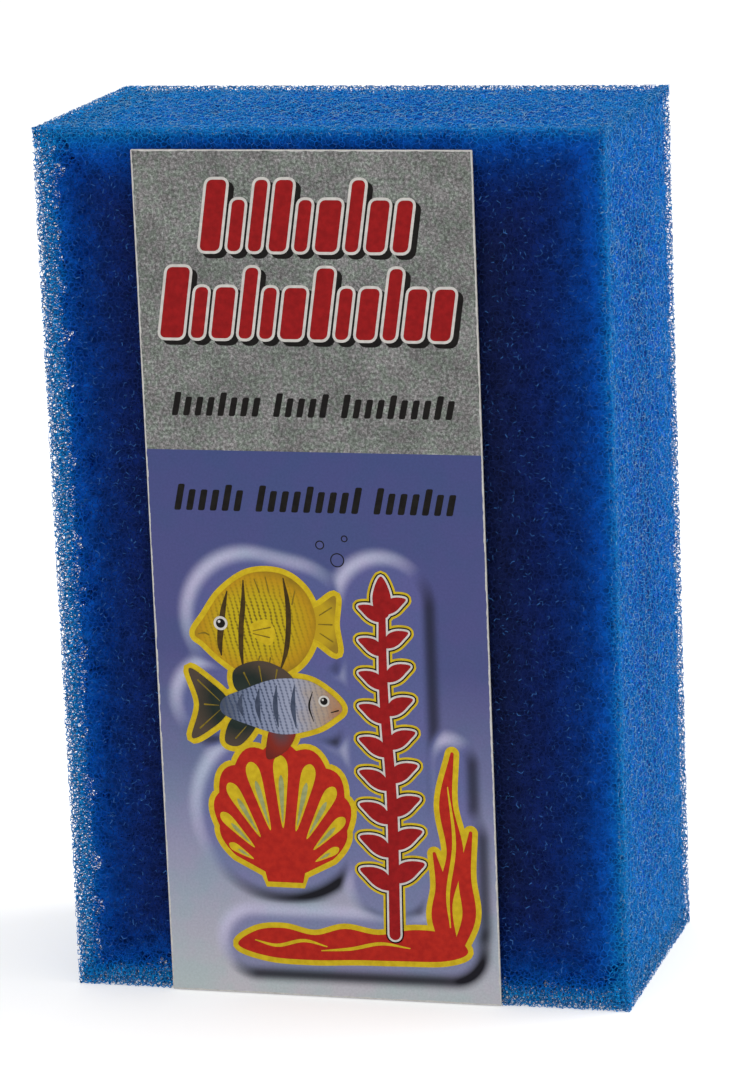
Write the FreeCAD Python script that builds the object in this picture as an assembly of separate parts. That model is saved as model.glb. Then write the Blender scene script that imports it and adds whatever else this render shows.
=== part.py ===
"""Filter sponge: an upright block of open-cell foam with a printed card label glued to its front.

Frame, in millimetres: +Z is up, +X is to the right as the label is read, and -Y is the side with
the label. The origin is on the ground, under the middle of the whole object's bounding box.
"""
import FreeCAD, Part
import os

# The foam block: width, depth and height of the cut.
FOAM_WIDTH = 100.0
FOAM_DEPTH = 51.0
FOAM_HEIGHT = 153.0

# The card label on the front face.
CARD_WIDTH = 59.6
CARD_THICKNESS = 0.35
CARD_CORNER_RADIUS = 0.2
CARD_LEFT_MARGIN = 17.8  # from the block's left edge to the card's left edge
CARD_TOP_MARGIN = 3.6    # from the block's top edge down to the card's top edge
CARD_LIFT = 0.2          # from the ground up to the card's bottom edge

# The glue between the card and the foam: round dots in a grid, pressed flat.
GLUE_THICKNESS = 0.25
GLUE_DOT_RADIUS = 4.0
GLUE_COLUMNS = 2
GLUE_ROWS = 4
GLUE_INSET = 9.0         # from the card's edges to the centres of the outer dots

# Worked out from the sizes above.
TOTAL_DEPTH = FOAM_DEPTH + GLUE_THICKNESS + CARD_THICKNESS
FRONT = -TOTAL_DEPTH / 2                     # the card's printed face
CARD_BACK = FRONT + CARD_THICKNESS
FOAM_FRONT = CARD_BACK + GLUE_THICKNESS
CARD_LEFT = -FOAM_WIDTH / 2 + CARD_LEFT_MARGIN
CARD_HEIGHT = FOAM_HEIGHT - CARD_TOP_MARGIN - CARD_LIFT


def foam_block():
    """The block as it is cut from a sheet of foam: flat faces and sharp edges."""
    corner = FreeCAD.Vector(-FOAM_WIDTH / 2, FOAM_FRONT, 0)
    return Part.makeBox(FOAM_WIDTH, FOAM_DEPTH, FOAM_HEIGHT, corner)


def label_card():
    """The flat card, with its four corners slightly rounded by the die that cuts it."""
    corner = FreeCAD.Vector(CARD_LEFT, FRONT, CARD_LIFT)
    card = Part.makeBox(CARD_WIDTH, CARD_THICKNESS, CARD_HEIGHT, corner)
    corners = [edge for edge in card.Edges if runs_along_y(edge)]
    return card.makeFillet(CARD_CORNER_RADIUS, corners)


def runs_along_y(edge):
    """True for an edge that goes straight through the card's thickness."""
    start, end = (vertex.Point for vertex in edge.Vertexes)
    return abs(end.y - start.y) > CARD_THICKNESS / 2


def evenly_spaced(first, last, count):
    """count places from first to last, with equal steps."""
    step = (last - first) / (count - 1)
    return [first + step * index for index in range(count)]


def label_glue():
    """Dots of glue that fill the gap between the card and the foam."""
    card_right = CARD_LEFT + CARD_WIDTH
    card_top = CARD_LIFT + CARD_HEIGHT
    dots = []
    for x in evenly_spaced(CARD_LEFT + GLUE_INSET, card_right - GLUE_INSET, GLUE_COLUMNS):
        for z in evenly_spaced(CARD_LIFT + GLUE_INSET, card_top - GLUE_INSET, GLUE_ROWS):
            back_of_card = FreeCAD.Vector(x, CARD_BACK, z)
            towards_foam = FreeCAD.Vector(0, 1, 0)
            dots.append(Part.makeCylinder(GLUE_DOT_RADIUS, GLUE_THICKNESS, back_of_card, towards_foam))
    return Part.makeCompound(dots)


NODES = {
    "foam_block": foam_block,
    "label_card": label_card,
    "label_glue": label_glue,
}

os.makedirs("parts", exist_ok=True)
for name, make in NODES.items():
    shape = make()
    shape.exportStep(f"parts/{name}.step")
    box = shape.BoundBox
    print(
        f"{name}: {len(shape.Solids)} solid(s), {shape.Volume:.1f} mm3, "
        f"x {box.XMin:.2f} to {box.XMax:.2f}, y {box.YMin:.3f} to {box.YMax:.3f}, "
        f"z {box.ZMin:.2f} to {box.ZMax:.2f}"
    )
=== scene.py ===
"""The looks of the filter sponge: open-cell foam built strut by strut, and a printed card label.

Everything is in metres, in the CAD frame: +Z up, +X right as the label is read, -Y out of the
labelled front.
"""
from collections import namedtuple
import math
import bmesh
import bpy
import numpy as np
from mathutils import Matrix, Vector, noise as solid_noise
from mathutils.geometry import delaunay_2d_cdt


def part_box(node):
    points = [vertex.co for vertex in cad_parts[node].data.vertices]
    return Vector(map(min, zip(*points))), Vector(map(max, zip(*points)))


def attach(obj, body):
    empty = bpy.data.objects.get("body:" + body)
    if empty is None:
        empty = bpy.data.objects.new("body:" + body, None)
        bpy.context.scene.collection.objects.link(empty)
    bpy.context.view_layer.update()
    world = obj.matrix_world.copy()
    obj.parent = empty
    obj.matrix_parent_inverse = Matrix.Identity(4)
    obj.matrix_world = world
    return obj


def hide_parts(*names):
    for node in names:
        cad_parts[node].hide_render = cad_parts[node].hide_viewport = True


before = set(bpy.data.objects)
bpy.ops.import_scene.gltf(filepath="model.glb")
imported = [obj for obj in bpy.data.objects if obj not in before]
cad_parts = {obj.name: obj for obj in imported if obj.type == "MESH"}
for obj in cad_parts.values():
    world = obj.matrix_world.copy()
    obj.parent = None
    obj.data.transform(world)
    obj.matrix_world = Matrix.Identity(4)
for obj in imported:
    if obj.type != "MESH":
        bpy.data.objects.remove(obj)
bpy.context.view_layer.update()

MM = 0.001

# The foam's cells.
CELL_PITCH = 1.02             # mm, from the middle of one cell to the next
CELL_SHAKE = 0.42             # how far a cell sits from an even lattice, as a share of the pitch
JOINT_POINTS = 5              # a joint's three corners, its ridge and the end of its leg
STRUT_REACH = (0.065, 0.115)  # mm, from a joint's middle to the corners between its struts
RIDGE_HEIGHT = (0.04, 0.10)   # mm, how far a strut's ridge stands over its corners
LEG_LEAN = 0.36               # mm that a leg's end may lie to the side of its joint
WIDE_FACES = ("front", "back")
WIDE_FACE_GLINTS = 0.11       # share of the wide faces' struts that carry a painted glint
NARROW_FACE_GLINTS = 0.55     # the same on the other faces, as a painted sheen
# How open each face's cells are: what their layers' missing shares are multiplied by.
OPENNESS = {"front": 1.0, "left": 1.6, "bottom": 1.6, "right": 0.3, "back": 0.3, "top": 0.3}
# The edges along which the foam is open enough to see through, each between two faces.
OPEN_EDGES = (
    ("left", "front"), ("left", "back"), ("left", "top"), ("left", "bottom"), ("bottom", "front"),
)
# A layer of cells: the depths of its joints, the lengths of their legs and how far the layer goes in
# from the open edges, all in mm, and the share of its struts that is missing. A layer with no rim
# width covers the whole face.
Layer = namedtuple("Layer", "name joint_depths leg_lengths rim_width missing")
CELL_LAYERS = (
    Layer("outer", (0.05, 0.55), (0.40, 0.80), None, 0.06),
    Layer("inner", (0.80, 1.40), (0.50, 1.00), None, 0.06),
    Layer("rim", (1.60, 2.30), (0.60, 1.20), 6.0, 0.18),
    Layer("deep_rim", (2.50, 3.40), (0.60, 1.20), 5.0, 0.50),
)
RIM_RAGGEDNESS = (0.55, 1.1)  # how far a rim layer really goes in, as shares of its width
HIDDEN_MARGIN = 2.5           # mm, how far cells go on behind the card
STRUT_TRIANGLES = 8.5         # a strut's triangles, with its share of its joints
MOST_TRIANGLES = 185000       # in one piece of foam

# The foam's core, behind the cells.
OPEN_INSET = 1.9              # mm, from the left, front and bottom to the core
CLOSE_INSET = 0.7             # mm, from the right, back and top to it
OPEN_CHAMFER = 3.3            # mm, taken off the core's open edges
CLOSE_CHAMFER = 0.3           # mm, taken off its other edges
CORE_VOXEL = 0.9              # mm, the size of the core's mesh faces
LUMP_WIDTH = 2.0              # mm, how wide and how high the lumps of the core's skin are
LUMP_HEIGHT = 1.8
DENT_WIDTH = 2.8              # mm, about how wide the dents along the open edges are
DENT_DEPTH = 4.0              # mm, as deep as the deepest
DENT_FADE = (6.0, 10.0)       # mm from an open edge, between which the dents get shallow

# The foam's blue dye, painted paler near the block's edges and darker inwards as painted light and shade, for
# the light that comes in through the open cells. Stops are depths, as shares of the fade, and colours.
DEPTH_FADE = 24.0             # mm over which the painted shade darkens the foam from its edges
OPEN_SHIFT = 2.6              # mm of depth that the painted shade loses at the open left side and foot, which are painted paler
SIDE_DEPTH_SHARE = 0.25       # how fast the painted shade darkens the core behind the narrow faces, against the wide
LIGHT_THROUGH = 0.35          # share of a strut's light that comes through it
RIM_GAIN = 1.6                # how much brighter the rim layers are painted, for the light that reaches them all round
STRUT_STOPS = (
    (0.00, (0.005, 0.282, 0.710)),
    (0.05, (0.001, 0.210, 0.700)),
    (0.10, (0.001, 0.132, 0.620)),
    (0.16, (0.001, 0.086, 0.490)),
    (0.21, (0.001, 0.059, 0.360)),
    (0.28, (0.003, 0.046, 0.290)),
    (0.34, (0.004, 0.040, 0.258)),
    (0.55, (0.007, 0.026, 0.172)),
    (0.85, (0.008, 0.018, 0.102)),
)
# The rim layers' colours, painted brighter as painted light.
RIM_STOPS = [(depth, [min(RIM_GAIN * value, 1.0) for value in colour]) for depth, colour in STRUT_STOPS]
# The core's painted shade: its blue is painted paler near the edges and darker inwards.
CORE_STOPS = (
    (0.00, (0.001, 0.135, 0.450)),
    (0.08, (0.001, 0.110, 0.470)),
    (0.16, (0.001, 0.082, 0.440)),
    (0.26, (0.001, 0.046, 0.290)),
    (0.42, (0.003, 0.027, 0.195)),
    (0.60, (0.005, 0.019, 0.140)),
    (0.85, (0.007, 0.014, 0.078)),
)

rng = np.random.default_rng(20)

foam_low, foam_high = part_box("foam_block")
card_low, card_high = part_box("label_card")
X, Y, Z = Vector((1, 0, 0)), Vector((0, 1, 0)), Vector((0, 0, 1))


def new_object(name, data):
    """Puts a mesh, a light or a camera into the scene."""
    made = bpy.data.objects.new(name, data)
    bpy.context.scene.collection.objects.link(made)
    return made


# ---------------------------------------------------------------- node materials

class Output:
    """What a shader node gives at every point of a surface: a number, a colour or a vector. Sums of
    numbers are written as sums, and each step adds a Math node."""

    def __init__(self, node, name=0):
        self.tree = node.id_data
        self.socket = node.outputs[name]

    def __add__(self, other):
        return maths("ADD", self, other)

    def __sub__(self, other):
        return maths("SUBTRACT", self, other)

    def __rsub__(self, other):
        return maths("SUBTRACT", other, self)

    def __mul__(self, other):
        return maths("MULTIPLY", self, other)

    def __truediv__(self, other):
        return maths("DIVIDE", self, other)

    def __abs__(self):
        return maths("ABSOLUTE", self)


def feed(socket, value):
    """Sets a node's input to a number or colour, or links it to another node's output."""
    if isinstance(value, Output):
        value.tree.links.new(value.socket, socket)
    else:
        socket.default_value = value


def add_node(tree, kind, inputs, **settings):
    node = tree.nodes.new("ShaderNode" + kind)
    for name, value in settings.items():
        setattr(node, name, value)
    for name, value in inputs.items():
        feed(node.inputs[name], value)
    return node


def maths(operation, *values):
    tree = next(value.tree for value in values if isinstance(value, Output))
    return Output(add_node(tree, "Math", dict(enumerate(values)), operation=operation))


def least(first, second):
    return maths("MINIMUM", first, second)


def most(first, second):
    return maths("MAXIMUM", first, second)


def length(x, y):
    return maths("SQRT", x * x + y * y)


def clamped(value):
    """The value, kept between 0 and 1."""
    return Output(add_node(value.tree, "Clamp", {"Value": value}))


def eased(value, start, end, first, last):
    """Goes softly from first to last while the value goes from start to end."""
    inputs = {"Value": value, "From Min": start, "From Max": end, "To Min": first, "To Max": last}
    return Output(add_node(value.tree, "MapRange", inputs, interpolation_type="SMOOTHSTEP"))


def split(vector):
    """A vector's three numbers."""
    node = add_node(vector.tree, "SeparateXYZ", {"Vector": vector})
    return [Output(node, axis) for axis in "XYZ"]


def noise(place, scale, detail=2.0, roughness=0.5):
    """Soft random patches from 0 to 1, with scale of them to a metre."""
    inputs = {"Vector": place, "Scale": scale, "Detail": detail, "Roughness": roughness}
    return Output(add_node(place.tree, "TexNoise", inputs))


def ramp(share, stops):
    """A colour that goes through the stops, each of which is (position, colour)."""
    node = add_node(share.tree, "ValToRGB", {"Fac": share})
    elements = node.color_ramp.elements
    while len(elements) < len(stops):
        elements.new(0.5)
    for element, (position, colour) in zip(elements, stops):
        element.position = position
        element.color = (*colour, 1)
    return Output(node)


def mix(share, first, second, blend="MIX"):
    """The first colour with a share of the second over it. The node keeps the share from 0 to 1."""
    if not isinstance(second, Output):
        second = (*second, 1)
    inputs = {"Factor": share, 6: first, 7: second}
    return Output(add_node(first.tree, "Mix", inputs, data_type="RGBA", blend_type=blend), 2)


def multiplied(colour, *others):
    for other in others:
        colour = mix(1.0, colour, other, "MULTIPLY")
    return colour


def new_material(name, roughness, specular):
    """A material, its shader, and the place on the object that its patterns go by."""
    material = bpy.data.materials.new(name)
    material.use_nodes = True
    shader = material.node_tree.nodes["Principled BSDF"]
    shader.inputs["Roughness"].default_value = roughness
    shader.inputs["Specular IOR Level"].default_value = specular
    place = Output(add_node(material.node_tree, "TexCoord", {}), "Object")
    return material, shader, place


# ---------------------------------------------------------------- the foam's finish

def distances_to_faces(place):
    """Millimetres to the nearer side, the nearer of front and back, and the nearer end."""
    return [
        ((high - low) / 2 - abs(axis - (low + high) / 2)) / MM
        for axis, low, high in zip(split(place), foam_low, foam_high)
    ]


def painted_shade_depth(place, depth):
    """The depth that the painted shade goes by, as a share of the fade: cloudy, and less on the block's left
    and at its foot, where the foam is open and more light comes through, so that those parts are painted
    paler."""
    x, _, z = split(place)
    openness = 0.0
    for axis, low, high in ((x, foam_low.x, foam_high.x), (z, foam_low.z, foam_high.z)):
        middle, half = (low + high) / 2, (high - low) / 2
        below = most((middle - axis) / half, 0.0)
        openness = most(below * below, openness)
    cloud = noise(place, 160.0) * 3.0 - 1.5
    return (depth + cloud - openness * OPEN_SHIFT) / DEPTH_FADE


def strut_material(name, stops, painted_sheen=None):
    """Blue foam that lets light through, with painted shade that darkens it inwards from the block's edges. A
    painted sheen, where given, is a pale painted highlight over the struts, in patches."""
    material, shader, place = new_material(name, 0.45, 0.10)
    from_side, _, from_end = distances_to_faces(place)
    colour = ramp(painted_shade_depth(place, least(from_side, from_end)), stops)
    if painted_sheen is not None:
        patches = (noise(place, 600.0, 1.0) - 0.42) * 4.0
        colour = mix(patches, colour, painted_sheen)
    feed(shader.inputs["Base Color"], colour)
    through = add_node(place.tree, "BsdfTranslucent", {"Color": colour})
    both = add_node(place.tree, "MixShader", {0: LIGHT_THROUGH, 1: Output(shader), 2: Output(through)})
    feed(place.tree.nodes["Material Output"].inputs["Surface"], Output(both))
    return material


def core_material():
    """The body of the foam, with painted shade that darkens it with depth: the second nearest face says how
    far in a place is.
    """
    material, shader, place = new_material("foam_core", 0.8, 0.10)
    from_side, from_front, from_end = distances_to_faces(place)
    across = least(from_side, from_end)
    behind_side = least(from_front, most(from_side, from_end))
    depth = most(across, behind_side * SIDE_DEPTH_SHARE)
    shade = ramp(painted_shade_depth(place, depth), CORE_STOPS)
    cloud = ramp(noise(place, 550.0), ((0.35, (0.60,) * 3), (0.65, (1.45,) * 3)))
    feed(shader.inputs["Base Color"], multiplied(shade, cloud))
    return material


# The strut and core colours carry painted light and shade; the sheen and glint materials paint pale
# highlights onto some struts.
foam_strut = strut_material("foam_strut", STRUT_STOPS)
foam_rim_strut = strut_material("foam_rim_strut", RIM_STOPS)
foam_film = strut_material("foam_film", STRUT_STOPS, (0.24, 0.46, 0.66))
foam_glint = strut_material("foam_glint", STRUT_STOPS, (0.055, 0.195, 0.540))
foam_body = core_material()


# ---------------------------------------------------------------- the foam's cells

class Face:
    """One cut face of the block: a corner, the directions along it and the way out of it."""

    def __init__(self, corner, along, up):
        self.corner = np.array(corner)
        self.along = np.array(along)
        self.up = np.array(up)
        self.out = np.cross(self.along, self.up)
        block = np.array(foam_high - foam_low) / MM
        self.size = np.array([abs(block @ self.along), abs(block @ self.up)])

    def place(self, u, v, depth):
        """Points in metres from millimetres along, up and into the face."""
        flat = np.outer(u, self.along) + np.outer(v, self.up) - np.outer(depth, self.out)
        return self.corner + flat * MM


FACES = {
    "front": Face(foam_low, X, Z),
    "back": Face((foam_high.x, foam_high.y, foam_low.z), -X, Z),
    "right": Face((foam_high.x, foam_low.y, foam_low.z), Y, Z),
    "left": Face((foam_low.x, foam_high.y, foam_low.z), -Y, Z),
    "top": Face((foam_low.x, foam_low.y, foam_high.z), X, Y),
    "bottom": Face((foam_low.x, foam_high.y, foam_low.z), X, -Y),
}


def from_open_edges(places):
    """How far places on or near the block's faces are from its nearest open edge, in millimetres."""
    left, front, bottom = (places - np.array(foam_low)).T / MM
    _, back, top = (np.array(foam_high) - places).T / MM
    gaps = {"left": left, "front": front, "bottom": bottom, "back": back, "top": top}
    return np.minimum.reduce([np.maximum(gaps[one], gaps[other]) for one, other in OPEN_EDGES])


def behind_card(places):
    """True for places that the card hides, in millimetres along and up the front face."""
    left, right = ((x - foam_low.x) / MM for x in (card_low.x, card_high.x))
    top = (card_high.z - foam_low.z) / MM
    along, up = places.T
    is_across = (along > left + HIDDEN_MARGIN) & (along < right - HIDDEN_MARGIN)
    return is_across & (up > HIDDEN_MARGIN) & (up < top - HIDDEN_MARGIN)


def scattered_cells(width, height):
    """Cell middles over a sheet and a margin round it, as a shaken triangular lattice."""
    margin = 2 * CELL_PITCH
    rows = np.arange(-margin, height + margin, CELL_PITCH * math.sqrt(3) / 2)
    columns = np.arange(-margin, width + margin, CELL_PITCH)
    u, v = np.meshgrid(columns, rows)
    u[1::2] += CELL_PITCH / 2
    middles = np.stack([u.ravel(), v.ravel()], axis=1)
    return middles + rng.uniform(-CELL_SHAKE, CELL_SHAKE, middles.shape) * CELL_PITCH


def triangulate(middles):
    """Delaunay triangles of the cell middles, anticlockwise. Each triangle is where three cells meet."""
    found = delaunay_2d_cdt([Vector(m) for m in middles], [], [], 0, 1e-7)
    points = np.array([tuple(p) for p in found[0]])
    triangles = np.array(found[2])
    a, b, c = (points[triangles[:, k]] for k in range(3))
    turn = (b[:, 0] - a[:, 0]) * (c[:, 1] - a[:, 1]) - (b[:, 1] - a[:, 1]) * (c[:, 0] - a[:, 0])
    triangles[turn < 0] = triangles[turn < 0][:, ::-1]
    return points, triangles


def twin_sides(triangles):
    """For side 3 * triangle + k, from its corner k to the next, the same side of the next triangle,
    and -1 where there is none."""
    starts = triangles.ravel()
    ends = np.roll(triangles, -1, axis=1).ravel()
    key = np.minimum(starts, ends) * (triangles.max() + 1) + np.maximum(starts, ends)
    order = np.argsort(key, kind="stable")
    paired = np.nonzero(key[order[1:]] == key[order[:-1]])[0]
    twins = np.full(len(key), -1)
    twins[order[paired]] = order[paired + 1]
    twins[order[paired + 1]] = order[paired]
    return twins


def lay_struts(face_name, layer):
    """One layer of one face's cells: a joint where three cells meet, struts between the joints, and a leg
    from each joint that points inwards. Returns the joints' points, each side's twin, the sides that have a
    strut, and whether that strut gets a painted glint.
    """
    face = FACES[face_name]
    points, triangles = triangulate(scattered_cells(*face.size))
    middle = points[triangles].mean(axis=1)
    count = len(middle)
    outside = ((middle < 0) | (middle > face.size)).any(axis=1)
    unusable = ((middle < -CELL_PITCH) | (middle > face.size + CELL_PITCH)).any(axis=1)
    if face_name == "front":
        unusable |= behind_card(middle)
    if layer.rim_width is not None:
        gaps = from_open_edges(face.place(*middle.T, np.zeros(count)))
        unusable |= gaps > layer.rim_width * rng.uniform(*RIM_RAGGEDNESS, count)

    # Sides whose strut is there, listed once.
    twins = twin_sides(triangles)
    side = np.arange(3 * count)
    side = side[twins > side]
    here, there = side // 3, twins[side] // 3
    kept = ~(unusable[here] | unusable[there] | (outside[here] & outside[there]))
    kept &= rng.random(len(side)) > layer.missing * OPENNESS[face_name]
    glint_share = WIDE_FACE_GLINTS if face_name in WIDE_FACES else NARROW_FACE_GLINTS
    painted_glints = rng.random(len(side)) < glint_share

    middle = middle.clip(0, face.size)
    depth = rng.uniform(*layer.joint_depths, count)
    reach = rng.uniform(*STRUT_REACH, count)
    towards = points[triangles] - middle[:, None]
    towards /= np.maximum(np.linalg.norm(towards, axis=2, keepdims=True), 1e-9)
    plan = np.repeat(middle[:, None], JOINT_POINTS, axis=1)
    plan[:, :3] += towards * reach[:, None, None]
    plan[:, 4] += rng.uniform(-LEG_LEAN, LEG_LEAN, (count, 2))
    plan = plan.clip(0, face.size)
    depths = np.repeat(depth[:, None], JOINT_POINTS, axis=1)
    depths[:, 3] = (depth - rng.uniform(*RIDGE_HEIGHT, count)).clip(0)
    depths[:, 4] += rng.uniform(*layer.leg_lengths, count)
    co = face.place(plan[:, :, 0].ravel(), plan[:, :, 1].ravel(), depths.ravel())
    return co, twins, side[kept], painted_glints[kept]


def strut_faces(co, twins, side, painted_glints):
    """The closed mesh of some of a layer's struts, with their joints and legs: vertices, quads, triangles,
    and 1 for each face of a strut with a painted glint and 0 for the others.
    """
    def corner(sides, step):
        return JOINT_POINTS * (sides // 3) + (sides % 3 + step) % 3

    def ridge(sides):
        return JOINT_POINTS * (sides // 3) + 3

    twin = twins[side]
    right, left, far_left, far_right = corner(side, 0), corner(side, 1), corner(twin, 0), corner(twin, 1)
    quads = np.concatenate([
        np.stack([right, far_right, ridge(twin), ridge(side)], axis=1),
        np.stack([ridge(side), ridge(twin), far_left, left], axis=1),
        np.stack([left, far_left, far_right, right], axis=1),
    ])
    with_strut = np.zeros(len(twins), bool)
    with_strut[side] = True
    with_strut[twin] = True
    used = with_strut.reshape(-1, 3).any(axis=1)
    all_sides = np.nonzero(np.repeat(used, 3))[0]
    bare = all_sides[~with_strut[all_sides]]
    triangles = np.concatenate([
        np.stack([corner(bare, 0), corner(bare, 1), ridge(bare)], axis=1),
        np.stack([corner(all_sides, 1), corner(all_sides, 0), ridge(all_sides) + 1], axis=1),
    ])
    keep = np.nonzero(np.repeat(used, JOINT_POINTS))[0]
    renumber = np.full(len(co), -1)
    renumber[keep] = np.arange(len(keep))
    finish = np.concatenate([np.tile(painted_glints, 3), np.zeros(len(triangles))])
    return co[keep], renumber[quads], renumber[triangles], finish


def mesh_object(name, co, quads, triangles, finish):
    """A mesh object from arrays of vertices, faces and each face's material number."""
    mesh = bpy.data.meshes.new(name)
    corners = np.concatenate([quads.ravel(), triangles.ravel()])
    totals = np.repeat([4, 3], [len(quads), len(triangles)])
    starts = np.cumsum(totals) - totals
    mesh.vertices.add(len(co))
    mesh.vertices.foreach_set("co", np.asarray(co, np.float32).ravel())
    mesh.loops.add(len(corners))
    mesh.loops.foreach_set("vertex_index", corners.astype(np.int32))
    mesh.polygons.add(len(totals))
    mesh.polygons.foreach_set("loop_start", starts.astype(np.int32))
    mesh.polygons.foreach_set("loop_total", totals.astype(np.int32))
    mesh.polygons.foreach_set("use_smooth", np.ones(len(totals), bool))
    mesh.polygons.foreach_set("material_index", finish.astype(np.int32))
    mesh.update(calc_edges=True)
    mesh.validate()
    return new_object(name, mesh)


def face_cells(face_name, layer):
    """One layer of one face, in as many bands as keep each piece small enough."""
    co, twins, side, painted_glints = lay_struts(face_name, layer)
    height = co[JOINT_POINTS * (side // 3)] @ FACES[face_name].up
    bands = math.ceil(len(side) * STRUT_TRIANGLES / MOST_TRIANGLES)
    pieces = []
    for band, chosen in enumerate(np.array_split(np.argsort(height, kind="stable"), bands), start=1):
        suffix = f"_{band}" if bands > 1 else ""
        name = f"foam_{face_name}_{layer.name}_cells{suffix}"
        piece = mesh_object(name, *strut_faces(co, twins, side[chosen], painted_glints[chosen]))
        # The rim layers' struts are painted brighter, for the light that reaches them all round.
        piece.data.materials.append(foam_strut if layer.rim_width is None else foam_rim_strut)
        # Struts with painted glints get the glint material on the wide faces and the painted sheen on the
        # others.
        piece.data.materials.append(foam_glint if face_name in WIDE_FACES else foam_film)
        pieces.append(piece)
    return pieces


# ---------------------------------------------------------------- the foam's core

def chamfered_block():
    """The core's mesh before it is made lumpy, with how much to chamfer each edge."""
    bm = bmesh.new()
    bmesh.ops.create_cube(bm, size=1.0)
    chamfers = bm.edges.layers.float.new("bevel_weight_edge")
    open_middles = [Vector(FACES[one].out + FACES[other].out) / 2 for one, other in OPEN_EDGES]
    for edge in bm.edges:
        middle = (edge.verts[0].co + edge.verts[1].co) / 2
        is_open = any((middle - open_middle).length < 0.01 for open_middle in open_middles)
        edge[chamfers] = 1.0 if is_open else CLOSE_CHAMFER / OPEN_CHAMFER
    low = foam_low + Vector((1, 1, 1)) * OPEN_INSET * MM
    high = foam_high - Vector((1, 1, 1)) * CLOSE_INSET * MM
    bmesh.ops.scale(bm, vec=high - low, verts=bm.verts)
    bmesh.ops.translate(bm, vec=(low + high) / 2, verts=bm.verts)
    mesh = bpy.data.meshes.new("foam_core")
    bm.to_mesh(mesh)
    bm.free()
    return mesh


def dent_open_edges(mesh):
    """Dents the core along the open edges, so that the light that comes through them ends unevenly."""
    co = np.empty((len(mesh.vertices), 3), np.float32)
    normals = np.empty_like(co)
    mesh.vertices.foreach_get("co", co.ravel())
    mesh.vertices.foreach_get("normal", normals.ravel())
    lumps = np.array([solid_noise.noise(Vector(place) / (DENT_WIDTH * MM)) for place in co])
    dents = np.interp(lumps, (-0.1, 0.35), (0, DENT_DEPTH * MM))
    dents *= np.interp(from_open_edges(co), DENT_FADE, (1, 0))
    co -= normals * dents[:, None]
    mesh.vertices.foreach_set("co", co.ravel())
    mesh.update()


def foam_core():
    """The body of foam behind the modelled cells: a chamfered block with a lumpy skin."""
    piece = new_object("foam_core", chamfered_block())
    piece.data.materials.append(foam_body)
    chamfer = piece.modifiers.new("chamfered_edges", "BEVEL")
    chamfer.limit_method = "WEIGHT"
    chamfer.width = OPEN_CHAMFER * MM
    chamfer.segments = 2
    remesh = piece.modifiers.new("even_faces", "REMESH")
    remesh.mode = "VOXEL"
    remesh.voxel_size = CORE_VOXEL * MM
    remesh.use_smooth_shade = True
    lumps = bpy.data.textures.new("core_lumps", "CLOUDS")
    lumps.noise_scale = LUMP_WIDTH * MM
    skin = piece.modifiers.new("lumpy_skin", "DISPLACE")
    skin.texture = lumps
    skin.strength = LUMP_HEIGHT * MM
    skin.mid_level = 0.6
    finished = piece.evaluated_get(bpy.context.evaluated_depsgraph_get())
    piece.data = bpy.data.meshes.new_from_object(finished)
    piece.modifiers.clear()
    dent_open_edges(piece.data)
    return piece


foam_pieces = []
for face_name in FACES:
    for layer in CELL_LAYERS:
        foam_pieces += face_cells(face_name, layer)
foam_pieces.append(foam_core())
for piece in foam_pieces:
    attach(piece, "root")
    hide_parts("foam_block")


# ---------------------------------------------------------------- the label's card

DIVIDE_HEIGHT = 97.4          # mm above the card's bottom edge, where the grey panel starts
RUBBED_EDGE = 0.25            # mm along the card's edges where the ink has worn off
# The print's soft halo follows these rounded bars: two ends and a radius, in card millimetres.
HALO_BARS = (
    ((17.5, 67.8), (24.0, 66.4), 8.6),
    ((10.5, 53.0), (29.0, 52.6), 4.2),
    ((21.6, 33.4), (21.6, 33.4), 12.6),
    ((41.0, 22.5), (41.0, 71.0), 5.2),
    ((15.6, 9.6), (51.0, 9.8), 2.8),
    ((51.8, 14.0), (51.8, 30.0), 2.4),
    ((51.8, 30.0), (51.8, 43.5), 1.0),
)
HALO_WIDTH = 3.1              # mm from the art to the middle of the halo's edge
HALO_SOFTNESS = 1.5           # mm over which the edge falls
HALO_LIGHT = (-0.55, 0.65)    # mm, towards the side that the halo is pale on


def card_place(place):
    """Millimetres across and up from the card's lower left corner."""
    x, _, z = split(place)
    return (x - card_low.x) / MM, (z - card_low.z) / MM


def distance_to_bar(across, up, bar):
    """Millimetres from a rounded bar's outline, negative inside it."""
    (start_x, start_y), (end_x, end_y), radius = bar
    run_x, run_y = end_x - start_x, end_y - start_y
    length_squared = max(run_x ** 2 + run_y ** 2, 1e-6)
    from_x, from_y = across - start_x, up - start_y
    share = clamped((from_x * run_x + from_y * run_y) / length_squared)
    return length(from_x - share * run_x, from_y - share * run_y) - radius


def halo_height(across, up, shift):
    """1 on the raised ground round the art and 0 off it, sampled a little way to one side."""
    across, up = across + shift[0], up + shift[1]
    nearest, *others = [distance_to_bar(across, up, bar) for bar in HALO_BARS]
    for distance in others:
        nearest = maths("SMOOTH_MIN", nearest, distance, 1.5)
    return eased(nearest, HALO_WIDTH - HALO_SOFTNESS, HALO_WIDTH + HALO_SOFTNESS, 1.0, 0.0)


def grey_stone(place):
    """The upper panel: a printed granite, grey with warm, green and bluish grains."""
    grey = ramp(noise(place, 1900.0, 4.0, 0.85), (
        (0.34, (0.048, 0.047, 0.043)),
        (0.50, (0.135, 0.140, 0.134)),
        (0.66, (0.345, 0.350, 0.340)),
    ))
    hue = ramp(noise(place, 800.0, 1.0), (
        (0.40, (0.94, 1.02, 0.94)),
        (0.50, (1.00, 1.00, 1.00)),
        (0.60, (1.04, 0.98, 1.01)),
    ))
    drift = ramp(noise(place, 170.0, 4.0, 0.6), ((0.35, (0.82,) * 3), (0.65, (1.16,) * 3)))
    return multiplied(grey, hue, drift)


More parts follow.
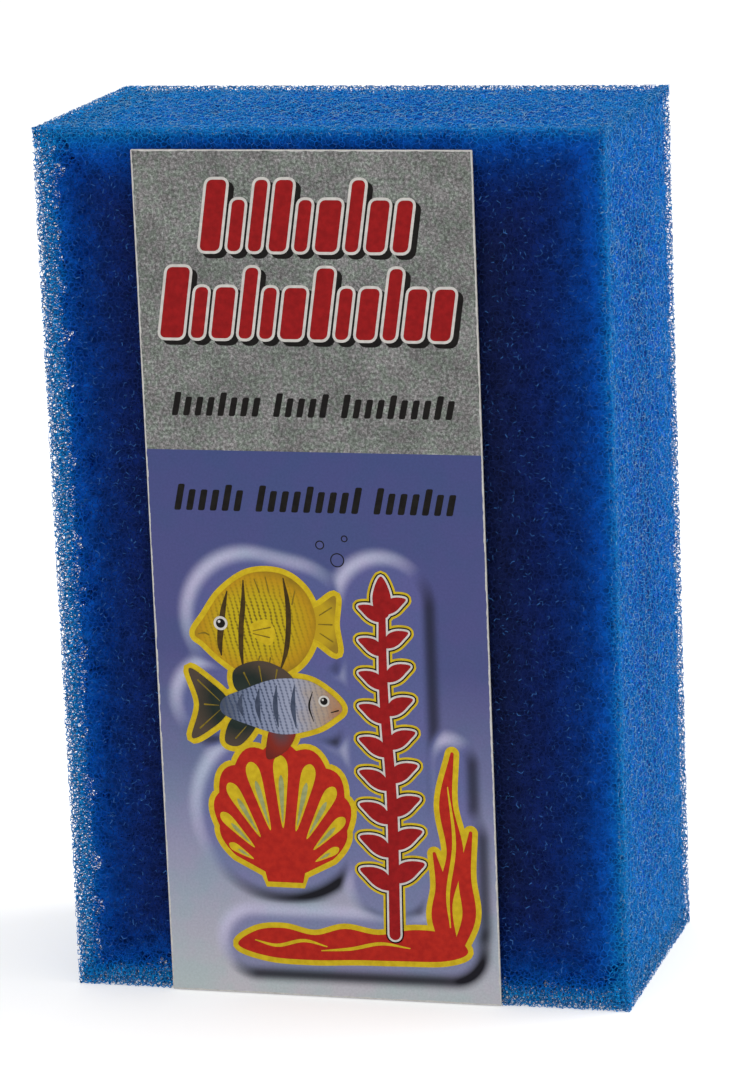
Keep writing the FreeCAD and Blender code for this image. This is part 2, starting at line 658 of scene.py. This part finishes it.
def blue_fade(place, across, up):
    """The lower panel: periwinkle that pales towards the bottom, with the art's soft halo."""
    shade = ramp((up + across * 0.05 - 1.5) / DIVIDE_HEIGHT, (
        (0.00, (0.385, 0.410, 0.425)),
        (0.09, (0.312, 0.343, 0.385)),
        (0.21, (0.240, 0.264, 0.345)),
        (0.31, (0.180, 0.200, 0.305)),
        (0.42, (0.115, 0.130, 0.240)),
        (0.62, (0.060, 0.068, 0.180)),
        (1.00, (0.046, 0.060, 0.170)),
    ))
    pale_side = halo_height(across, up, [-s for s in HALO_LIGHT])
    dark_side = halo_height(across, up, HALO_LIGHT)
    shade = mix(halo_height(across, up, (0.0, 0.0)) * 0.65, shade, (0.085, 0.095, 0.240))
    shade = mix(pale_side - dark_side, shade, (0.42, 0.44, 0.57))
    shade = mix((dark_side - pale_side) * 1.5, shade, (0.006, 0.006, 0.010))
    cloud = ramp(noise(place, 130.0, 3.0, 0.6), ((0.38, (0.95, 1.01, 0.99)), (0.62, (1.08, 0.98, 1.02))))
    fibre = ramp(noise(place, 2600.0), ((0.3, (0.93,) * 3), (0.7, (1.06,) * 3)))
    return multiplied(shade, cloud, fibre)


def rubbed_edge(place, across, up):
    """1 along the card's edges, where the pale board shows, raggedly, and 0 inside."""
    width, height = (card_high.x - card_low.x) / MM, (card_high.z - card_low.z) / MM
    from_edge = least(least(across, width - across), least(up, height - up))
    wear = (noise(place, 600.0, 3.0) - 0.5) * 0.5 + RUBBED_EDGE
    return maths("LESS_THAN", from_edge, wear)


def card_material():
    """Printed on the front and plain pulp on its cut edges and back."""
    material, shader, place = new_material("printed_card", 0.5, 0.1)
    across, up = card_place(place)
    is_upper = maths("GREATER_THAN", up, DIVIDE_HEIGHT)
    printed = mix(is_upper, blue_fade(place, across, up), grey_stone(place))
    pulp = ramp(noise(place, 1500.0, 3.0), ((0.3, (0.38, 0.37, 0.35)), (0.7, (0.50, 0.49, 0.47))))
    _, facing, _ = split(Output(add_node(place.tree, "NewGeometry", {}), "True Normal"))
    is_front = maths("LESS_THAN", facing, -0.5)
    colour = mix(is_front - rubbed_edge(place, across, up), pulp, printed)
    feed(shader.inputs["Base Color"], colour)
    tooth = {"Strength": 0.15, "Distance": 0.02 * MM, "Height": noise(place, 1200.0, 3.0)}
    feed(shader.inputs["Normal"], Output(add_node(place.tree, "Bump", tooth)))
    return material


def glue_material():
    """Hot-melt glue: amber and cloudy."""
    material, shader, place = new_material("hot_melt_glue", 0.3, 0.5)
    colour = ramp(noise(place, 500.0), ((0.3, (0.55, 0.46, 0.28)), (0.7, (0.72, 0.66, 0.50))))
    feed(shader.inputs["Base Color"], colour)
    return material


for node, material in (("label_card", card_material()), ("label_glue", glue_material())):
    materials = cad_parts[node].data.materials
    materials.clear()
    materials.append(material)


# ---------------------------------------------------------------- shapes for the label's print
# An outline is an array of points in card millimetres, across and up from the lower left corner.

def spline(points, steps, closed):
    """A Catmull-Rom curve through the points."""
    points = np.array(points, float)
    if closed:
        padded = np.concatenate([points[-1:], points, points[:2]])
    else:
        padded = np.concatenate([2 * points[:1] - points[1:2], points, 2 * points[-1:] - points[-2:-1]])
    share = np.arange(steps)[:, None] / steps
    runs = []
    for p0, p1, p2, p3 in zip(padded, padded[1:], padded[2:], padded[3:]):
        runs.append(0.5 * (
            2 * p1 + (p2 - p0) * share + (2 * p0 - 5 * p1 + 4 * p2 - p3) * share ** 2
            + (3 * p1 - p0 - 3 * p2 + p3) * share ** 3
        ))
    if not closed:
        runs.append(points[-1:])
    return np.concatenate(runs)


def blob(*points):
    """A closed smooth outline through the points."""
    return spline(points, 7, closed=True)


def arc(middle, radius, angles):
    return middle + radius * np.stack([np.cos(angles), np.sin(angles)], axis=1)


def circle(middle, radius):
    return arc(middle, radius, np.linspace(0, 2 * math.pi, 36, endpoint=False))


def ribbon(*points):
    """A band along a smooth line with round ends; each point is across, up and the band's width."""
    line = spline(points, 8, closed=False)
    place, half = line[:, :2], line[:, 2] / 2
    run = np.gradient(place, axis=0)
    run /= np.linalg.norm(run, axis=1, keepdims=True)
    left = np.stack([-run[:, 1], run[:, 0]], axis=1) * half[:, None]

    def cap(end, way):
        turn = np.linspace(0, math.pi, 9)[1:-1, None]
        return place[end] + way * (np.cos(turn) * -left[end] + np.sin(turn) * run[end] * half[end])

    return np.concatenate([place - left, cap(-1, 1), (place + left)[::-1], cap(0, -1)])


def rounded_bar(left, bottom, width, height, radius, slant):
    """A bar with rounded corners that leans to the right by slant times its height."""
    far, top = width - radius, height - radius
    quarter = np.linspace(0, math.pi / 2, 5)
    bar = np.concatenate([
        arc(corner, radius, quarter + turn * math.pi / 2)
        for turn, corner in enumerate(((far, top), (radius, top), (radius, radius), (far, radius)))
    ])
    bar[:, 0] += slant * bar[:, 1]
    return bar + (left, bottom)


def signed_area(outline):
    x, y = outline.T
    return (x * np.roll(y, -1) - np.roll(x, -1) * y).sum() / 2


def grown(outlines, amount):
    """Each outline moved outwards by amount."""
    moved = []
    for outline in outlines:
        run = np.roll(outline, -1, axis=0) - np.roll(outline, 1, axis=0)
        run /= np.maximum(np.linalg.norm(run, axis=1, keepdims=True), 1e-9)
        out = np.stack([run[:, 1], -run[:, 0]], axis=1) * math.copysign(1, signed_area(outline))
        moved.append(outline + out * amount)
    return moved


# ---------------------------------------------------------------- ink

PRINT_STEP = 0.012            # mm that each layer of ink stands over the one below


def print_ink(name, outlines, level, material):
    """Flat closed prisms of ink on the card, one for each outline. Each stands a hair over the last,
    so that no two share a surface."""
    co, faces = [], []
    for index, outline in enumerate(outlines):
        if signed_area(outline) < 0:
            outline = outline[::-1]
        top = PRINT_STEP * (level + 0.5 * index / len(outlines))
        below = list(range(len(co), len(co) + len(outline)))
        above = [corner + len(outline) for corner in below]
        for proud in (-PRINT_STEP / 2, top):
            for across, up in outline:
                co.append((card_low.x + across * MM, card_low.y - proud * MM, card_low.z + up * MM))
        faces += [below[::-1], above]
        for k in range(len(outline)):
            faces.append([below[k - 1], below[k], above[k], above[k - 1]])
    mesh = bpy.data.meshes.new(name)
    mesh.from_pydata(co, [], faces)
    mesh.materials.append(material)
    piece = new_object(name, mesh)
    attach(piece, "root")


def ink(name, dark, pale):
    """Printing ink whose colour drifts a little over the card, between two near tones."""
    material, shader, place = new_material(name, 0.45, 0.1)
    colour = ramp(noise(place, 900.0, 3.0, 0.6), ((0.35, dark), (0.65, pale)))
    feed(shader.inputs["Base Color"], colour)
    return material


def graded_ink(name, middle, radii, tilt, stops, scales=None, along=False):
    """Ink that changes from the middle of an ellipse to its edge, or along its first radius. Scales
    are rows of fine marks: their colour, and the spacing in mm."""
    material, shader, place = new_material(name, 0.45, 0.1)
    across, up = card_place(place)
    c, s = math.cos(math.radians(tilt)), math.sin(math.radians(tilt))
    from_x, from_y = across - middle[0], up - middle[1]
    first = (from_x * c + from_y * s) / radii[0]
    second = (from_y * c - from_x * s) / radii[1]
    share = first * 0.5 + 0.5 if along else length(first, second)
    drift = (noise(place, 350.0, 3.0, 0.6) - 0.5) * 0.24
    colour = ramp(share + drift, stops)
    if scales:
        mark, spacing = scales
        turn = 2 * math.pi / spacing
        column = maths("SINE", (across + up * 0.25 + drift * 4.0) * turn)
        row = maths("SINE", up * (turn * 1.6))
        colour = mix((column + row * 0.35) * clamped(1.0 - share) * 1.3, colour, mark)
    feed(shader.inputs["Base Color"], colour)
    return material


RED_INK = ink("red_ink", (0.200, 0.003, 0.004), (0.260, 0.005, 0.006))
SCARLET_INK = ink("scarlet_ink", (0.300, 0.009, 0.005), (0.380, 0.015, 0.007))
WHITE_INK = ink("white_ink", (0.43, 0.41, 0.385), (0.52, 0.50, 0.47))
BLACK_INK = ink("black_ink", (0.003, 0.002, 0.002), (0.007, 0.006, 0.005))
YELLOW_INK = ink("yellow_ink", (0.42, 0.29, 0.006), (0.51, 0.37, 0.010))
OLIVE_INK = ink("olive_ink", (0.12, 0.085, 0.006), (0.19, 0.13, 0.010))
SAGE_INK = ink("sage_ink", (0.20, 0.22, 0.085), (0.27, 0.29, 0.130))
UMBER_INK = ink("umber_ink", (0.030, 0.018, 0.004), (0.055, 0.032, 0.006))
SLATE_INK = ink("slate_ink", (0.030, 0.040, 0.070), (0.050, 0.064, 0.105))
DUSK_INK = ink("dusk_ink", (0.050, 0.060, 0.170), (0.062, 0.072, 0.190))


# ---------------------------------------------------------------- the title and the small print
# No words: bars stand where the letters would be. All sizes are in mm.

TITLE_SLANT = 0.16
TITLE_GAP = 1.35
# The title's rows: bottom edge, left edge, and each bar's width and height.
TITLE_ROWS = (
    (131.9, 11.4, ((3.5, 12.2), (2.3, 8.8), (2.3, 12.2), (3.1, 12.2), (2.3, 8.8), (3.9, 8.8), (2.3, 12.2),
                   (3.3, 8.8), (2.7, 8.8))),
    (116.9, 3.6, ((4.1, 12.2), (2.3, 8.8), (3.5, 8.8), (2.3, 12.2), (2.3, 8.8), (3.9, 8.8), (3.1, 12.2),
                  (2.3, 8.8), (3.3, 8.8), (2.3, 12.2), (3.3, 8.8), (3.5, 8.8))),
)
SMALL_SLANT = 0.22
SMALL_ROW_WIDTH = 50.4
WORD_SPACE = 1.8
# The small print's rows: bottom edge, height, left edge, and how many strokes each word has.
SMALL_ROWS = (
    (103.4, 4.1, 5.0, (8, 5, 10)),
    (86.8, 4.6, 4.6, (6, 9, 7)),
)


def title_bars():
    bars = []
    for bottom, left, glyphs in TITLE_ROWS:
        for width, height in glyphs:
            bars.append(rounded_bar(left, bottom, width, height, 0.9, TITLE_SLANT))
            left += width + TITLE_GAP
    return bars


def small_bars():
    bars = []
    for bottom, height, left, words in SMALL_ROWS:
        step = (SMALL_ROW_WIDTH - WORD_SPACE * (len(words) - 1)) / sum(words)
        for strokes in words:
            for stroke in range(strokes):
                tall = height if stroke % 4 == 0 else 0.8 * height
                bars.append(rounded_bar(left, bottom, 0.55 * step, tall, 0.3, SMALL_SLANT))
                left += step
            left += WORD_SPACE
    return bars


def print_title():
    bars = title_bars()
    print_ink("title_shadow_print", [bar + (0.85, -0.75) for bar in grown(bars, 0.5)], 1, BLACK_INK)
    print_ink("title_outline_print", grown(bars, 0.48), 2, WHITE_INK)
    print_ink("title_print", bars, 3, RED_INK)
    print_ink("small_print", small_bars(), 1, BLACK_INK)


# ---------------------------------------------------------------- the reef picture

def strokes(root_width, tip_width, *lines):
    """Short straight bands; each line is the places of its root and its tip."""
    return [ribbon((*root, root_width), (*tip, tip_width)) for root, tip in lines]


def print_eye(fish, middle, radius, level):
    """A pale ring, a dark pupil and a glint. It takes three levels."""
    glint = np.array(middle) + (-0.2 * radius, 0.25 * radius)
    print_ink(f"{fish}_eye_print", [circle(middle, radius)], level, WHITE_INK)
    print_ink(f"{fish}_pupil_print", [circle(middle, 0.66 * radius)], level + 1, BLACK_INK)
    print_ink(f"{fish}_glint_print", [circle(glint, 0.2 * radius)], level + 2, WHITE_INK)


def print_yellow_fish():
    """A round reef fish facing left, with slim dark bars."""
    body = blob(
        (7.2, 65.0), (9.3, 68.2), (12.4, 72.4), (17.4, 75.8), (23.0, 76.0), (27.0, 73.4), (29.0, 69.0),
        (28.6, 64.6), (26.0, 60.2), (21.4, 57.7), (16.0, 58.0), (11.8, 60.6), (8.8, 63.4),
    )
    tail = blob(
        (27.6, 69.2), (30.0, 70.6), (32.8, 72.2), (32.4, 67.2), (32.8, 62.2), (29.8, 64.0), (27.4, 65.6),
    )
    fin = blob((17.4, 66.8), (20.4, 67.8), (21.8, 65.4), (20.6, 63.2), (17.8, 64.8))
    bars = [
        ribbon((13.4, 72.6, 0.2), (12.6, 69.4, 0.9), (12.0, 66.0, 1.1), (11.7, 63.2, 0.9), (11.9, 61.2, 0.2)),
        ribbon((16.4, 74.6, 0.2), (16.2, 70.4, 0.8), (15.7, 66.6, 0.9), (15.5, 62.6, 0.8), (15.7, 59.0, 0.2)),
        ribbon((23.6, 75.2, 0.2), (24.2, 71.0, 0.8), (24.2, 66.8, 0.9), (23.6, 62.4, 0.8), (22.4, 58.8, 0.2)),
    ]
    tail_rays = strokes(
        0.15, 0.25,
        ((29.8, 68.8), (32.0, 70.2)), ((29.6, 67.2), (32.0, 67.2)), ((29.8, 65.6), (32.0, 64.2)),
    )
    mouth = ribbon((7.9, 64.9, 0.15), (9.0, 65.1, 0.3), (9.8, 64.7, 0.15))
    fin_rays = strokes(
        0.15, 0.25,
        ((17.8, 65.7), (20.9, 66.4)), ((17.8, 65.2), (20.7, 64.6)), ((18.4, 74.9), (19.2, 72.6)),
        ((20.4, 75.3), (20.9, 72.8)), ((25.6, 73.0), (25.0, 70.6)), ((18.0, 58.9), (18.8, 61.2)),
        ((20.2, 58.7), (20.7, 61.0)),
    )
    print_ink("yellow_fish_tail_print", [tail], 2, graded_ink(
        "yellow_tail", (27.5, 67.4), (6.5, 6.0), 0,
        ((0.00, (0.36, 0.22, 0.006)), (0.70, (0.40, 0.27, 0.008)), (1.00, (0.24, 0.15, 0.010))),
    ))
    print_ink("yellow_fish_print", [body], 3, graded_ink(
        "yellow_scales", (18.4, 66.8), (12.0, 10.0), 10,
        ((0.00, (0.44, 0.34, 0.006)), (0.50, (0.41, 0.30, 0.005)), (0.82, (0.38, 0.21, 0.005)),
         (1.00, (0.20, 0.12, 0.006))),
        scales=((0.14, 0.10, 0.006), 0.95),
    ))
    print_ink("yellow_fish_fin_print", [fin], 4, YELLOW_INK)
    print_ink("yellow_fish_lines_print", [*tail_rays, mouth, *fin_rays], 5, OLIVE_INK)
    print_ink("yellow_fish_bars_print", bars, 6, UMBER_INK)
    print_eye("yellow_fish", (12.0, 66.9), 1.25, 7)
    return [body, tail]


def print_silver_fish():
    """A slim barred fish facing right, with dark fins and a forked tail."""
    body = blob(
        (33.2, 52.4), (31.0, 55.0), (27.0, 57.2), (21.2, 57.2), (15.6, 55.2), (11.8, 53.4),
        (11.6, 50.8), (16.2, 48.9), (22.4, 47.4), (28.2, 48.6), (31.6, 50.6),
    )
    fins = [
        blob((24.8, 56.4), (23.0, 59.0), (18.6, 60.4), (14.0, 58.6), (14.6, 54.8), (19.6, 56.0)),
        blob((12.6, 53.4), (9.8, 56.2), (5.8, 58.6), (7.4, 52.3), (5.8, 46.2), (9.8, 48.2), (12.4, 50.8)),
        blob((17.6, 49.2), (14.6, 45.2), (11.8, 45.8), (13.4, 50.0)),
    ]
    red_fin = blob((24.6, 48.2), (23.0, 44.6), (19.4, 42.8), (19.4, 46.2), (20.6, 48.6))
    rays = strokes(
        0.1, 0.3,
        ((16.8, 56.0), (15.8, 58.2)), ((19.0, 56.6), (18.6, 59.4)), ((21.4, 57.0), (21.8, 58.9)),
        ((11.2, 53.0), (7.4, 56.6)), ((11.0, 52.2), (8.4, 52.3)), ((11.2, 51.4), (7.4, 48.0)),
        ((15.8, 48.6), (13.8, 46.4)),
    )
    bars = [
        ribbon((x, 52.4 + tall, 0.15), (x - 0.4, 52.4, 0.9), (x, 52.4 - tall, 0.15))
        for x, tall in ((15.2, 1.9), (18.4, 3.0), (21.6, 3.7), (24.8, 3.8))
    ]
    gill = ribbon((28.0, 55.2, 0.1), (27.3, 52.6, 0.35), (28.0, 49.9, 0.1))
    mouth = ribbon((31.2, 51.6, 0.15), (32.5, 52.0, 0.25))
    print_ink("silver_fish_fins_print", fins, 8, graded_ink(
        "dark_fins", (15.0, 53.0), (9.0, 8.0), 0,
        ((0.00, (0.022, 0.030, 0.022)), (0.60, (0.009, 0.016, 0.013)), (1.00, (0.060, 0.042, 0.030))),
    ))
    print_ink("silver_fish_red_fin_print", [red_fin], 8, graded_ink(
        "red_fin", (22.0, 48.0), (4.0, 5.5), 0,
        ((0.00, (0.050, 0.050, 0.060)), (0.60, (0.170, 0.016, 0.008)), (1.00, (0.110, 0.012, 0.008))),
    ))
    print_ink("silver_fish_rays_print", rays, 9, OLIVE_INK)
    print_ink("silver_fish_print", [body], 10, graded_ink(
        "silver_scales", (22.3, 52.4), (11.0, 5.0), 0,
        ((0.00, (0.050, 0.062, 0.090)), (0.25, (0.15, 0.18, 0.27)), (0.60, (0.26, 0.28, 0.37)),
         (0.80, (0.31, 0.25, 0.20)), (1.00, (0.30, 0.13, 0.05))),
        scales=((0.04, 0.055, 0.10), 0.9), along=True,
    ))
    print_ink("silver_fish_bars_print", bars, 11, SLATE_INK)
    print_ink("silver_fish_marks_print", [gill, mouth], 12, BLACK_INK)
    print_eye("silver_fish", (30.0, 53.6), 1.0, 13)
    return [body, red_fin, *fins]


def print_shell():
    """A round scallop that stands on its hinge, with yellow ribs."""
    middle, radius, ribs = np.array((21.6, 33.2)), 12.9, 9
    hinge = middle - (0, 0.93 * radius)
    spread = math.radians(132)

    def reach(angle):
        return 1.93 * radius * math.cos(angle)

    def at(angle, distance):
        return hinge + distance * np.array([math.sin(angle), math.cos(angle)])

    rim = []
    for angle in np.linspace(-spread / 2, spread / 2, ribs * 8 + 1):
        ripple = 0.95 + 0.05 * abs(math.sin(ribs * math.pi * (angle / spread + 0.5)))
        rim.append(at(angle, ripple * reach(angle)))
    foot = hinge + np.array([[3.6, 1.2], [3.2, -0.6], [-3.2, -0.6], [-3.6, 1.2]])
    shell = np.concatenate([rim, foot])
    wedges, hollows = [], []
    for rib in range(ribs):
        angle = spread * ((rib + 0.5) / ribs - 0.5)
        far = 0.90 * reach(angle)
        near = 0.28 * radius + 0.25 * far
        for share, wide, found in ((1.0, 0.24, wedges), (0.84, 0.10, hollows)):
            half = wide * spread / ribs
            outer, inner = share * far, near + (1 - share) * 6
            found.append(blob(
                at(angle, inner), at(angle - half, 0.5 * (inner + outer)), at(angle - half, 0.93 * outer),
                at(angle, outer), at(angle + half, 0.93 * outer), at(angle + half, 0.5 * (inner + outer)),
            ))
    print_ink("shell_print", [shell], 2, SCARLET_INK)
    print_ink("shell_ribs_print", wedges, 3, YELLOW_INK)
    print_ink("shell_rib_hollows_print", hollows, 4, SAGE_INK)
    return [shell]


def print_kelp():
    """A stem with pointed leaves in pairs, smaller towards the top."""
    x, foot, top, pairs = 41.0, 12.0, 76.0, 9
    first_pair, last_pair = 20.2, 68.1
    stem = ribbon((x, foot, 2.0), (x + 0.4, foot + 24, 1.8), (x - 0.3, foot + 43, 1.6), (x, top - 5, 1.2))
    tip = blob((x - 1.0, top - 7), (x - 1.6, top - 3.4), (x, top), (x + 1.6, top - 3.4), (x + 1.0, top - 7))
    outlines = [stem, tip]
    leaf = np.array((
        (0.0, 0.0), (1.5, 1.4), (3.4, 1.8), (5.4, 1.0), (6.9, -0.6), (5.0, -1.2), (3.0, -1.5), (1.2, -1.1),
    ))
    c, s = math.cos(math.radians(36)), math.sin(math.radians(36))
    raised = leaf @ np.array(((c, s), (-s, c)))
    for pair in range(pairs):
        share = pair / (pairs - 1)
        size = 0.98 - 0.26 * share
        root = first_pair + (last_pair - first_pair) * share
        for way, lift in ((-1, 0.0), (1, 1.4)):
            outlines.append(blob(*(raised * (way * size, size) + (x, root + lift))))
    print_ink("kelp_outline_print", grown(outlines, 0.62), 2, BLACK_INK)
    print_ink("kelp_edge_print", grown(outlines, 0.36), 3, WHITE_INK)
    print_ink("kelp_print", outlines, 4, RED_INK)
    return outlines


def print_sea_floor():
    """A rippled bank, and a tuft of wavy red grass on its right end."""
    bank = blob(
        (12.4, 8.8), (16.0, 11.6), (21.0, 12.2), (26.5, 11.2), (32.0, 12.6), (38.0, 11.8), (44.5, 13.0),
        (51.0, 12.4), (54.0, 9.4), (50.0, 7.6), (42.0, 7.2), (34.0, 7.0), (26.0, 6.6), (18.0, 6.9),
    )
    blades = [
        ribbon((51.2, 10.0, 2.2), (50.0, 18.0, 3.0), (52.3, 27.0, 3.0), (51.0, 36.0, 2.4), (52.4, 45.0, 0.6)),
        ribbon((50.2, 10.0, 1.8), (48.8, 15.5, 2.2), (49.6, 21.0, 2.0), (48.6, 27.0, 0.6)),
        ribbon((52.2, 10.0, 1.8), (54.4, 16.0, 2.4), (53.9, 23.0, 2.2), (55.2, 31.0, 0.6)),
    ]
    ripples = [
        ribbon((15.6, 9.8, 0.2), (19.6, 9.0, 0.6), (24.4, 10.1, 0.6), (28.6, 9.2, 0.2)),
        ribbon((27.6, 8.4, 0.2), (33.0, 9.0, 0.6), (38.4, 10.2, 0.6), (43.6, 9.6, 0.2)),
        ribbon((51.0, 13.8, 0.2), (50.8, 20.0, 0.7), (52.2, 29.0, 0.7), (51.4, 39.0, 0.2)),
    ]
    print_ink("sea_floor_print", [bank, *blades], 2, SCARLET_INK)
    print_ink("ripples_print", ripples, 3, YELLOW_INK)
    return [bank, *blades]


def print_bubbles():
    bubbles = [circle((33.4, 78.6), 1.25), circle((30.4, 81.2), 0.8), circle((34.8, 82.4), 0.6)]
    print_ink("bubble_rings_print", bubbles, 1, BLACK_INK)
    print_ink("bubbles_print", grown(bubbles, -0.2), 2, DUSK_INK)


print_title()
art = print_shell() + print_sea_floor() + print_yellow_fish() + print_silver_fish() + print_kelp()
print_ink("reef_rim_print", grown(art, 1.0), 1, YELLOW_INK)
print_bubbles()


# ---------------------------------------------------------------- the studio

WORLD_LIGHT = 0.85
FLOOR_ALBEDO = 0.75
FLOOR_GLOW = 0.35
FLOOR_FAR_GLOW = 0.165
FLOOR_FADE = (3.2, 9.0)       # m from the middle, between which the glow falls to the far glow
FLOOR_HALF = 14.0             # m from the middle to the floor's edge
LIGHT_TARGET = Vector((0, 0, 0.07))
CAMERA_TARGET = Vector((0.00026, 0.00031, 0.07746))
CAMERA_ANGLES = (15.990, 13.2115, -2.307)  # degrees to the right, up, and about its own axis
CAMERA_DISTANCE = 0.81826
CAMERA_LENS = 157.25          # mm, with a sensor 36 mm wide


def floor():
    """A pale floor that glows a little, less and less towards its edge, where it meets the world's
    light without a line."""
    mesh = bpy.data.meshes.new("studio_floor")
    half = FLOOR_HALF
    corners = [(-half, -half, 0), (half, -half, 0), (half, half, 0), (-half, half, 0)]
    mesh.from_pydata(corners, [], [(0, 1, 2, 3)])
    material, shader, place = new_material("studio_floor", 0.9, 0.0)
    shader.inputs["Base Color"].default_value = (FLOOR_ALBEDO, FLOOR_ALBEDO, FLOOR_ALBEDO, 1)
    shader.inputs["Emission Color"].default_value = (1, 1, 1, 1)
    away = Output(add_node(place.tree, "VectorMath", {0: place}, operation="LENGTH"), "Value")
    feed(shader.inputs["Emission Strength"], eased(away, *FLOOR_FADE, FLOOR_GLOW, FLOOR_FAR_GLOW))
    mesh.materials.append(material)
    new_object("studio_floor", mesh)


def world_light():
    world = bpy.data.worlds.new("studio")
    world.use_nodes = True
    background = world.node_tree.nodes["Background"]
    background.inputs["Color"].default_value = (1, 1, 1, 1)
    background.inputs["Strength"].default_value = WORLD_LIGHT
    bpy.context.scene.world = world


def soft_light(name, place, size, power):
    """A square light that faces the object."""
    light = bpy.data.lights.new(name, "AREA")
    light.shape = "SQUARE"
    light.size = size
    light.energy = power
    lamp = new_object(name, light)
    lamp.location = place
    lamp.rotation_euler = (LIGHT_TARGET - Vector(place)).to_track_quat("-Z", "Y").to_euler()


def camera():
    """The view from the right and above, turned a little about its own axis."""
    azimuth, elevation, roll = (math.radians(angle) for angle in CAMERA_ANGLES)
    back = Vector((
        math.sin(azimuth) * math.cos(elevation),
        -math.cos(azimuth) * math.cos(elevation),
        math.sin(elevation),
    ))
    lens = bpy.data.cameras.new("camera")
    lens.sensor_width = 36.0
    lens.lens = CAMERA_LENS
    lens.clip_end = 100
    eye = new_object("camera", lens)
    turn = back.to_track_quat("Z", "Y").to_matrix() @ Matrix.Rotation(roll, 3, "Z")
    eye.matrix_world = Matrix.Translation(CAMERA_TARGET + back * CAMERA_DISTANCE) @ turn.to_4x4()
    bpy.context.scene.camera = eye


floor()
world_light()
soft_light("key_light", (0.9, 0.3, 1.0), 0.8, 9.0)
soft_light("front_light", (-0.2, -1.3, 0.9), 0.9, 4.0)
camera()
bpy.context.scene.view_settings.view_transform = "Standard"
